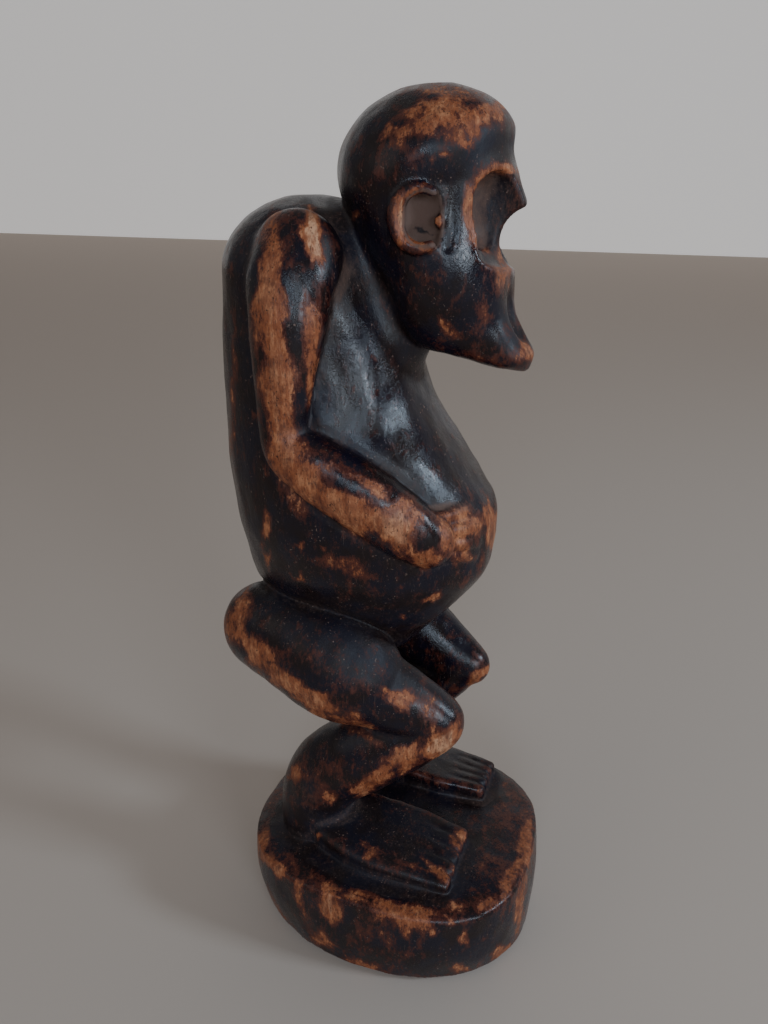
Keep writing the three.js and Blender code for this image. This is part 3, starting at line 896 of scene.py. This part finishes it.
# %% Patches
# Each patch: across and down in the picture, half length, half width, turn in degrees, strength.
# Worn patches, and one painted highlight on the crest of the ear rim.
WORN_AND_PAINTED_HIGHLIGHT = {
    "head": [
        (444, 109, 17, 15, 0, 1.0), (428, 124, 17, 10, -35, 0.9), (412, 113, 14, 9, -20, 0.62),
        (474, 121, 13, 15, 0, 0.9), (497, 108, 9, 13, 50, 0.7), (402, 136, 13, 8, -40, 0.75),
        (387, 131, 9, 5, -50, 0.55), (440, 90, 55, 7, 3, 0.5), (463, 143, 8, 4, 30, 0.9),
        (444, 154, 4, 3, 0, 0.8), (455, 133, 12, 7, 20, 0.6), (355, 216, 4, 7, 20, 1.0),
        # The narrow oval at (401, 214) with strength 1.2 paints a pale highlight on the crest of the ear rim.
        (400, 218, 4.5, 25, 0, 1.0), (401, 214, 3, 18, 0, 1.2), (412, 192, 13, 3.6, -25, 0.9),
        (416, 242, 14, 4, 30, 0.85), (503, 169, 16, 5, 0, 0.95), (484, 180, 16, 5, -45, 0.85),
        (470, 212, 5, 24, -8, 0.95), (480, 243, 18, 5, 52, 0.75), (524, 190, 4, 18, -15, 0.55),
        (503, 272, 8, 22, -12, 0.6), (484, 316, 7, 12, 0, 0.5), (449, 329, 16, 5, 40, 0.68),
        (527, 350, 5, 12, -30, 0.8), (387, 308, 5, 22, -38, 0.55), (438, 221, 3, 4, 0, 0.9),
    ],
    "arm and back": [
        (313, 236, 8, 28, -8, 1.35), (270, 232, 10, 22, 10, 0.7), (270, 290, 13, 50, 2, 1.0),
        (277, 370, 14, 55, -4, 1.0), (284, 440, 15, 45, -8, 1.0), (311, 345, 9, 50, 0, 0.72),
        (233, 400, 4, 95, 2, 0.5), (255, 414, 4, 4, 0, 0.9),
    ],
    "forearm, hand and belly": [
        (300, 480, 34, 20, 45, 0.95), (345, 512, 38, 17, 38, 1.0), (396, 527, 26, 22, 40, 1.05),
        (424, 560, 13, 11, 0, 0.95), (456, 530, 20, 24, 5, 0.9), (492, 524, 7, 20, -5, 0.9),
        (370, 485, 34, 6, 32, 0.55), (345, 566, 24, 9, 18, 0.6), (266, 528, 4, 16, 8, 0.9),
        (300, 545, 4, 4, 0, 0.8), (268, 560, 3, 9, 0, 0.8), (301, 578, 3, 4, 0, 0.8),
        (323, 549, 3, 3, 0, 0.8), (432, 598, 12, 3, -18, 0.8), (403, 617, 4, 3, 0, 0.8),
    ],
    "thigh and knee": [
        (238, 620, 11, 26, 15, 0.8), (258, 652, 13, 20, -35, 0.95), (280, 678, 18, 9, 38, 0.9),
        (312, 700, 24, 9, 32, 1.0), (358, 728, 24, 9, 28, 0.8), (400, 699, 17, 10, 12, 0.9),
        (430, 716, 10, 18, -20, 0.5), (443, 745, 20, 15, -35, 1.15), (405, 757, 16, 12, -30, 0.95),
        (380, 775, 18, 7, -35, 0.85), (366, 788, 14, 6, -30, 0.8), (330, 798, 6, 6, 0, 0.6),
        (295, 774, 6, 8, 0, 0.9), (478, 676, 15, 4, -40, 0.9), (470, 700, 5, 5, 0, 0.3),
    ],
    "foot and lower leg": [
        (317, 836, 4, 3, 0, 1.0), (372, 852, 8, 6, 0, 0.95), (438, 871, 14, 5, 35, 0.85),
        (455, 845, 4, 14, -30, 0.55), (461, 835, 4, 7, -20, 0.7), (413, 865, 6, 3, 0, 0.7),
        (262, 845, 5, 18, 10, 0.85), (272, 864, 5, 14, -40, 0.85), (298, 884, 5, 6, 0, 0.65),
    ],
    "base": [
        (330, 905, 17, 9, 80, 1.05), (359, 893, 13, 7, 0, 0.85), (412, 914, 26, 13, 0, 0.72),
        (425, 914, 9, 7, 0, 0.9), (450, 903, 12, 6, -8, 0.85), (488, 904, 12, 6, -30, 0.5),
        (507, 886, 6, 10, 20, 0.6), (385, 903, 10, 5, 0, 0.6), (526, 842, 6, 18, 0, 0.8),
        (516, 868, 6, 12, 30, 0.55), (520, 905, 4, 28, 8, 0.65), (322, 940, 12, 5, 30, 0.65),
        (464, 939, 5, 6, 0, 1.0), (434, 932, 4, 4, 0, 0.8), (405, 932, 5, 5, 0, 0.6),
        (446, 921, 8, 5, 0, 0.6), (503, 952, 12, 6, -20, 0.85), (459, 967, 8, 4, 0, 0.85),
        (360, 965, 12, 4, 15, 0.8), (279, 872, 5, 5, 0, 1.0), (275, 905, 4, 14, -30, 0.6),
        (299, 900, 4, 12, -20, 0.5),
    ],
}
# Dark spots that stayed inside the worn wood; the first oval is painted shade along the slit in the ear.
KEPT_AND_SLIT_SHADE = [
    (423, 231.5, 9, 2.2, 21, 1.6), (467, 895, 9, 3, -10, 0.6), (292, 285, 9, 14, 0, 0.8),
    (294, 335, 8, 20, -5, 0.75), (297, 395, 7, 12, 0, 0.6), (273, 383, 4, 5, 0, 0.7),
    (350, 487, 16, 6, 25, 0.7), (372, 535, 13, 6, 30, 0.6), (418, 548, 9, 6, 0, 0.5),
    (437, 532, 4, 14, 0, 0.5), (420, 140, 22, 9, 10, 0.5), (330, 480, 10, 8, 30, 0.4),
    (355, 905, 7, 20, 10, 0.35), (445, 925, 8, 6, 0, 0.5), (470, 915, 7, 5, 0, 0.4),
    (425, 722, 6, 5, 0, 0.5), (450, 722, 6, 5, 0, 0.5),
]
# Dust that settled where nobody wipes.
DUSTY = [
    (452, 507, 24, 6, 0, 0.6), (335, 270, 14, 50, -20, 0.35), (300, 800, 30, 20, 0, 0.35),
    (400, 830, 50, 30, 10, 0.3), (430, 640, 10, 20, 0, 0.2), (500, 820, 30, 30, 0, 0.25),
]
# Polish that shines more than elsewhere, in streaks along the grain.
GLOSSY = [
    (352, 370, 44, 90, -16, 1.0), (425, 450, 26, 32, -30, 1.0), (468, 248, 14, 28, 0, 1.0),
    (430, 642, 22, 12, 0, 1.0), (467, 896, 14, 6, -10, 1.0),
]
# Polish and wood that shine less.
MATTE = [
    (360, 658, 66, 28, 25, 1.0), (516, 332, 16, 28, -25, 0.8), (500, 212, 26, 34, 0, 1.0),
    (335, 262, 14, 50, -20, 0.8), (388, 606, 62, 18, 0, 0.9), (306, 432, 8, 8, 0, 0.9),
    (425, 220, 18, 26, 0, 0.8), (375, 835, 80, 40, 12, 1.0), (474, 146, 44, 28, 0, 1.0),
    (489, 772, 10, 22, 0, 1.0), (456, 850, 14, 34, 0, 1.0), (405, 300, 30, 16, 20, 0.5),
    (380, 950, 120, 24, 0, 0.7), (250, 430, 12, 120, 0, 0.5),
]
print("worn patches:", {part: len(patches) for part, patches in WORN_AND_PAINTED_HIGHLIGHT.items()})

# %% [markdown]
# ## From the picture to the wood
# An oval in the picture says nothing about depth, so a ray from the camera finds where it meets the wood.
# The same sums give each vertex its place in the picture, and which vertices the camera cannot see.

# %% Seen from the camera
PICTURE_WIDTH, PICTURE_HEIGHT = 768, 1024
PICTURE_MIDDLE = (PICTURE_WIDTH / 2, PICTURE_HEIGHT / 2)
PICTURE_FOCUS = CAMERA_LENS / SENSOR_LENGTH * PICTURE_HEIGHT
HIDDEN_GAIN = 6             # how soon behind the outline the mirrored patches take over


def in_picture(points):
    """Across, down and depth of points as the camera sees them."""
    turn = np.array(camera.rotation_euler.to_matrix())
    local = (points - np.array(CAMERA_PLACE)) @ turn
    depth = np.maximum(-local[:, 2], 1e-4)
    across = PICTURE_MIDDLE[0] + PICTURE_FOCUS * local[:, 0] / depth
    down = PICTURE_MIDDLE[1] - PICTURE_FOCUS * local[:, 1] / depth
    return across, down, depth


def surface_depth(tree, across, down):
    right, up = across - PICTURE_MIDDLE[0], PICTURE_MIDDLE[1] - down
    local = Vector((right / PICTURE_FOCUS, up / PICTURE_FOCUS, -1))
    ray = (camera.rotation_euler.to_matrix() @ local).normalized()
    hit = tree.ray_cast(CAMERA_PLACE, ray)
    return None if hit[0] is None else (hit[0] - CAMERA_PLACE).dot(forward)


faces = [tuple(p.vertices) for p in carving_mesh.polygons]
shape_tree = BVHTree.FromPolygons([tuple(p) for p in places], faces)
normals = np.empty(len(places) * 3, np.float32)
carving_mesh.vertices.foreach_get("normal", normals)
normals = normals.reshape(-1, 3)
towards = np.array(CAMERA_PLACE) - places
seen = (towards * normals).sum(1) / np.linalg.norm(towards, axis=1)
hidden = np.clip(-seen * HIDDEN_GAIN, 0, 1)
near_side, mirrored = in_picture(places), in_picture(places * [-1, 1, 1])
print("vertices seen", int((seen > 0).sum()), "of", len(places))

# %% [markdown]
# ## Marks in the mesh
# Each vertex gets numbers that the material reads later: how worn, dark, dusty or matte it is, how far it
# stands out, and whether the camera sees it. They travel with the mesh, which a pattern in the picture
# could not do. What a gouge left rough in the ears and eyes holds dust, so its floor is marked from its form.

# %% Paint the patches
PATCH_DEPTH = 0.016                             # metres nearer or farther that a patch still covers
RAGGED = ((3, 0.17), (5, 0.12), (9, 0.08))      # waves around an oval's edge, and their height
EDGE_END, EDGE_FALL = 1.5, 0.9                  # where an oval ends, and how wide its edge is
SEEN_GAIN = 8                                   # how soon patches fade toward the outline
CUT_REACH, CUT_START = 0.45, 1.6                # millimetres beside a hollow's wall, and where it fades
FAR_SHARE = {"worn": 0.85, "kept": 0.8, "dusty": 0.8, "matte": 0.9, "glossy": 0.8}
SOCKET_DUST, GLOSS_SHARE = 0.5, 0.4


def painted(patches, across, down, depth):
    value = np.zeros(len(across), np.float32)
    for x, y, length, width, turn, strength in patches:
        found = surface_depth(shape_tree, x, y)
        if found is None:
            continue
        c, s = math.cos(math.radians(turn)), math.sin(math.radians(turn))
        u = ((across - x) * c + (down - y) * s) / length
        v = ((down - y) * c - (across - x) * s) / width
        angle = np.arctan2(v, u)
        ragged = 1 + sum(height * np.sin(waves * angle + phase)
                         for (waves, height), phase in zip(RAGGED, (x, y, x + y)))
        round_off = np.clip((EDGE_END - np.sqrt(u * u + v * v) / ragged) / EDGE_FALL, 0, 1)
        value = np.maximum(value, strength * round_off * (np.abs(depth - found) < PATCH_DEPTH))
    return value


def both(patches, far_share):
    near = painted(patches, *near_side) * np.clip(seen * SEEN_GAIN + 1, 0, 1)
    return np.maximum(near, painted(patches, *mirrored) * hidden * far_share)


def near_cut(size, square):
    """One on the wood that a hollow left bare, falling to nought within a short reach beside it."""
    x, f, z = grid_places.T
    away = np.minimum(*(np.abs(side_egg(size, side, square)(x, f, z)) for side in SIDES))
    return np.clip(CUT_START - away / CUT_REACH, 0, 1)


def store(mesh, name, values):
    mesh.attributes.new(name, "FLOAT", "POINT").data.foreach_set("value", np.asarray(values, np.float32))


worn = both([patch for part in WORN_AND_PAINTED_HIGHLIGHT.values() for patch in part], FAR_SHARE["worn"])
hollow_floor = np.maximum(near_cut(EAR_RECESS, RECESS_SQUARE),
                          SOCKET_DUST * near_cut(EYE_SOCKET, SOCKET_SQUARE))
glossy = both(GLOSSY, FAR_SHARE["glossy"]) * GLOSS_SHARE
store(carving_mesh, "worn", worn)
store(carving_mesh, "kept", both(KEPT_AND_SLIT_SHADE, FAR_SHARE["kept"]))
store(carving_mesh, "dusty", np.maximum(both(DUSTY, FAR_SHARE["dusty"]), hollow_floor))
store(carving_mesh, "matte", both(MATTE, FAR_SHARE["matte"]) - glossy)
store(carving_mesh, "fine_ridge", fine_ridge)
store(carving_mesh, "broad_ridge", broad_ridge)
store(carving_mesh, "unseen", hidden)
print("worn vertices", int((worn > 0.5).sum()), "of", len(places))

# %% [markdown]
# ## Patina, red wood and bare wood
# Three layers lie on each other on the real figure: bare tan wood with its grain, a thin reddish stain, and
# a nearly black polish. Three materials side by side would meet in hard lines. Here two thresholds of one
# value of bareness decide which layer is seen, so red always borders the bare wood, and noises from broad
# to fine fray the borders into flakes and specks.

# %% Marks and noises
MARKS = ("worn", "kept", "dusty", "matte", "fine_ridge", "broad_ridge", "unseen")


def stored_marks(tree):
    return SimpleNamespace(**{
        name: make(tree, "ShaderNodeAttribute", {"attribute_name": name}, None, "Fac") for name in MARKS})


def wood_noises(tree, at):
    """Noises that the layers share; all but the streaks lie around nought."""
    return SimpleNamespace(
        clouds=noise(tree, at, 0.06, 4) - 0.5,
        patches=noise(tree, stretched(tree, at, (1, 1, 0.6)), 0.24, 7, 0.68) - 0.5,
        flakes=noise(tree, stretched(tree, at, (1, 1, 0.45)), 0.9, 5, 0.68) - 0.5,
        dots=noise(tree, at, 2.4, 3, 0.6) - 0.5,
        streaks=noise(tree, stretched(tree, at, (1, 1, 0.09)), 0.7, 6, 0.65),
    )


def bareness(mark, wave):
    """How far the polish is gone: in worn patches and on ridges, frayed by the noises."""
    ridges = (mark.fine_ridge * 0.14 + mark.broad_ridge * 0.26) * (mark.unseen * 0.3 + 0.6)
    frayed = wave.clouds * 0.3 + wave.patches * 1.05 + wave.flakes * 0.62 + wave.dots * 0.25
    return mark.worn * 0.56 - mark.kept * 0.4 + ridges + frayed


print("marks that the material reads:", MARKS)

# %% [markdown]
# ## Bare wood
# Worn wood goes from dark to pale with the grain, palest where hands touched it most; on the crest of the ear
# rim the palest colour is a painted highlight. Stain stays in it as red blots, and short pores along the
# grain and small round spots stay dark. A noise drawn out upward gives the grain, because rings and boards
# play no part in a block worn this unevenly.

# %% Bare wood
BARE_DARK = (0.10, 0.025, 0.012, 1)
BARE_MIDDLE = (0.25, 0.072, 0.027, 1)
BARE_LIGHT = (0.45, 0.178, 0.078, 1)
BARE_PALE_AND_HIGHLIGHT = (0.54, 0.28, 0.155, 1)
# The pale colour is strong wear, and also a painted highlight on the ear rim's crest.
RED = (0.075, 0.018, 0.011, 1)
PORE = (0.022, 0.008, 0.005, 1)


def wood_pores(tree, at):
    return noise(tree, stretched(tree, at, (1, 1, 0.22)), 2.0, 3, 0.55).rises(0.57, 0.68)


def bare_wood(tree, at, mark, wave, pores):
    tone = wave.streaks * 0.5 + wave.patches * 0.9 + wave.flakes * 0.45 + wave.dots * 0.2
    tone = tone + mark.worn * 0.14 + 0.17
    colour = blend_colours(tree, tone.rises(0.32, 0.52), BARE_DARK, BARE_MIDDLE)
    colour = blend_colours(tree, tone.rises(0.50, 0.74), colour, BARE_LIGHT)
    # Strong wear turns pale, and so does the ear rim's painted highlight.
    palest_and_highlight = mark.worn.rises(0.95, 1.2) * wave.streaks.rises(0.3, 0.6)
    colour = blend_colours(tree, palest_and_highlight, colour, BARE_PALE_AND_HIGHLIGHT)
    blots = noise(tree, stretched(tree, at, (1, 1, 0.7)), 0.3, 6, 0.68).rises(0.46, 0.66)
    colour = blend_colours(tree, blots * (1.0 - mark.worn * 0.45), colour, RED)
    spots = noise(tree, at, 0.95, 2, 0.5).rises(0.66, 0.71)
    return blend_colours(tree, (pores * 0.6).maths("MAXIMUM", spots * 0.85), colour, PORE)


print("bare wood goes from", BARE_DARK[:3], "to", BARE_PALE_AND_HIGHLIGHT[:3])

# %% [markdown]
# ## Dark polish
# The polish is a nearly black skin that turns from brown to blue; the blue is partly its own tone and partly
# a painted bluish sheen of the lamps. A thin reddish film shows through where it is thinner, and a few pale
# specks of dirt sit on it. One flat black would do from afar, but close by it would look like paint.

# %% Dark polish
POLISH_BROWN = (0.0095, 0.0042, 0.0048, 1)
# Blue-black of the polish, partly a painted bluish sheen of the lamps.
POLISH_BLUE_AND_PAINTED_SHEEN = (0.006, 0.0048, 0.0115, 1)
FILM = (0.040, 0.013, 0.010, 1)
SPECK = (0.34, 0.22, 0.17, 1)


def dark_polish(tree, at, wave):
    # Random patches of brown and blue; the blue is partly a painted sheen.
    colour = blend_colours(tree, noise(tree, at, 0.085, 3).rises(0.38, 0.62), POLISH_BROWN, POLISH_BLUE_AND_PAINTED_SHEEN)
    smears = wave.streaks * 0.5 + wave.patches * 0.9 + wave.flakes * 0.7 - 0.25
    colour = blend_colours(tree, smears.rises(0.0, 0.26) * 0.7, colour, FILM)
    specks = noise(tree, at, 1.3, 1).rises(0.68, 0.73) * (wave.patches + 0.5).rises(0.4, 0.6)
    return blend_colours(tree, specks * 0.45, colour, SPECK)


print("polish goes from", POLISH_BROWN[:3], "to", POLISH_BLUE_AND_PAINTED_SHEEN[:3])

# %% [markdown]
# ## Dust, sheen and relief
# Dust lies in the hollows and thin scratches run down the wood. The sheen is one reflection of the polish
# whose roughness changes from spot to spot. A clear coat over it would stay smooth where the wood is not and
# look like plastic, so there is none. The relief of flakes and grain only tilts the light.

# %% The whole patina
DUST = (0.13, 0.078, 0.06, 1)
POLISH_ROUGHNESS = 0.24
POLISH_SPECULAR = 0.36
RELIEF_STRENGTH, RELIEF_DEPTH = 0.7, 0.001      # share, and metres


def patina(material):
    tree = material.node_tree
    shader = tree.nodes["Principled BSDF"]
    place = make(tree, "ShaderNodeTexCoord", None, None, "Object")
    at = make(tree, "ShaderNodeVectorMath", {"operation": "SCALE"}, {0: place, "Scale": 1000.0})
    mark, wave = stored_marks(tree), wood_noises(tree, at)
    pores = wood_pores(tree, at)
    gone = bareness(mark, wave)
    red, bare = gone.rises(0.10, 0.38), gone.rises(0.36, 0.48)
    hollow = (mark.fine_ridge * -0.6 + mark.broad_ridge * -0.7).rises(0.12, 0.7)
    # Painted shade: the ear slit's oval keeps dust off, so the dark polish shows there as shade.
    settled_dust = mark.dusty * 0.85 + hollow * 0.32 - mark.kept * 0.6
    dust = (settled_dust + wave.clouds * 0.4 + wave.flakes * 0.7 + wave.dots * 0.3).rises(0.25, 0.95)
    scratch = noise(tree, stretched(tree, at, (1.6, 2.0, 0.1)), 1.0, 1).rises(0.68, 0.74)
    scratch = scratch * wave.clouds.rises(-0.02, 0.1)

    colour = blend_colours(tree, red, dark_polish(tree, at, wave), RED)
    colour = blend_colours(tree, bare, colour, bare_wood(tree, at, mark, wave, pores))
    colour = blend_colours(tree, dust * 0.88, colour, DUST)
    colour = blend_colours(tree, scratch * 0.3 * (1 - bare), colour, DUST)

    gloss = (mark.matte * -2.5).rises(0.0, 1.0)
    uneven = wave.flakes * 0.3 + wave.patches * 0.25 + wave.clouds * 0.15 + (wave.streaks - 0.5) * gloss * 0.7
    layers = red * 0.08 + bare * 0.1 + dust * 0.3 + hollow * 0.2 + mark.matte * 0.33 + scratch * 0.1
    grain = wave.flakes * 0.12 + wave.dots * 0.06 + wave.patches * 0.32 + (wave.streaks - 0.5) * 0.16 * bare
    height = grain - bare * 0.08 - red * 0.03 - pores * 0.1 * bare - scratch * 0.06
    bump = make(tree, "ShaderNodeBump", None,
                {"Strength": RELIEF_STRENGTH, "Distance": RELIEF_DEPTH, "Height": height})
    plug(tree, colour, shader.inputs["Base Color"])
    plug(tree, uneven + layers + POLISH_ROUGHNESS, shader.inputs["Roughness"])
    plug(tree, bump, shader.inputs["Normal"])
    shader.inputs["Specular IOR Level"].default_value = POLISH_SPECULAR


patina(wood_material)
print("material nodes:", len(wood_material.node_tree.nodes))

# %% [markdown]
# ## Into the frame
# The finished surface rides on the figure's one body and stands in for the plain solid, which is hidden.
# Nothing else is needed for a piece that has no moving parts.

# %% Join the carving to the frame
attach(carving, "root")
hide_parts(NODE)

# %% [markdown]
# ## Floor and backdrop
# A plain pale floor carries the figure and gives its underside some light back. A plain pale sheet behind it
# glows a little, as a lit wall does, so that the dark outline stands clear. Both are only a stage and far
# larger than the figure, so that their edges stay out of its reflections.

# %% Floor and backdrop
BACKDROP_PLACE = 3.0
BACKDROP_HEIGHT = 3.2
STAGE_WIDTH = 7.0
SHEET_ROUGHNESS = 0.85
FLOOR_COLOUR, BACKDROP_COLOUR = (0.53, 0.445, 0.38, 1), (0.74, 0.725, 0.715, 1)
BACKDROP_GLOW = 0.55


def stage_sheet(name, corners, colour, glow=0.0):
    mesh = bpy.data.meshes.new(name)
    mesh.from_pydata(corners, [], [(0, 1, 2, 3)])
    material = bpy.data.materials.new(name)
    material.use_nodes = True
    shader = material.node_tree.nodes["Principled BSDF"]
    shader.inputs["Base Color"].default_value = colour
    shader.inputs["Roughness"].default_value = SHEET_ROUGHNESS
    shader.inputs["Emission Color"].default_value = colour
    shader.inputs["Emission Strength"].default_value = glow
    mesh.materials.append(material)
    link(name, mesh)


floor_corners = [(-STAGE_WIDTH, -STAGE_WIDTH, 0), (BACKDROP_PLACE, -STAGE_WIDTH, 0),
                 (BACKDROP_PLACE, STAGE_WIDTH, 0), (-STAGE_WIDTH, STAGE_WIDTH, 0)]
backdrop_corners = [(BACKDROP_PLACE, STAGE_WIDTH, 0), (BACKDROP_PLACE, STAGE_WIDTH, BACKDROP_HEIGHT),
                    (BACKDROP_PLACE, -STAGE_WIDTH, BACKDROP_HEIGHT), (BACKDROP_PLACE, -STAGE_WIDTH, 0)]
stage_sheet("pale_floor", floor_corners, FLOOR_COLOUR)
stage_sheet("pale_backdrop", backdrop_corners, BACKDROP_COLOUR, BACKDROP_GLOW)
print("stage:", 2 * STAGE_WIDTH, "m wide")

# %% [markdown]
# ## Light
# So dark a polish hardly has a colour of its own: what one sees is the reflection of windows. Two bright
# lamps in front give the tight bluish streaks on the chest and on the cheek, a third lights thighs and base
# from the side, and a wide dim one opens the back. One large soft lamp would turn all the polish grey.

# %% Light
WORLD_COLOUR, WORLD_STRENGTH = (0.93, 0.91, 0.90, 1), 0.22

world = bpy.data.worlds.new("studio")
bpy.context.scene.world = world
world.use_nodes = True
world.node_tree.nodes["Background"].inputs["Color"].default_value = WORLD_COLOUR
world.node_tree.nodes["Background"].inputs["Strength"].default_value = WORLD_STRENGTH


def soft_light(name, place, target, size, power, colour):
    data = bpy.data.lights.new(name, "AREA")
    data.shape = "RECTANGLE"
    data.size, data.size_y = size
    data.energy = power
    data.color = colour
    lamp = link(name, data)
    lamp.location = place
    lamp.rotation_euler = (Vector(target) - Vector(place)).to_track_quat("-Z", "Y").to_euler()


# Place, target, width and height in metres, power in watts, colour.
soft_light("window", (0.0, -1.15, 0.67), (0, 0, 0.21), (0.2, 0.24), 6.5, (0.68, 0.84, 1.0))
soft_light("second_window", (-1.40, -1.46, 0.5), (0, 0, 0.22), (0.62, 0.44), 14, (0.74, 0.87, 1.0))
soft_light("sky", (-1.2, -0.3, 0.6), (0, 0, 0.12), (0.4, 0.3), 4.0, (0.66, 0.82, 1.0))
soft_light("fill", (-0.9, 0.8, 0.7), (0, 0, 0.15), (0.8, 0.8), 1.0, (1.0, 0.95, 0.9))
print("lamps:", [light.name for light in bpy.data.lights])
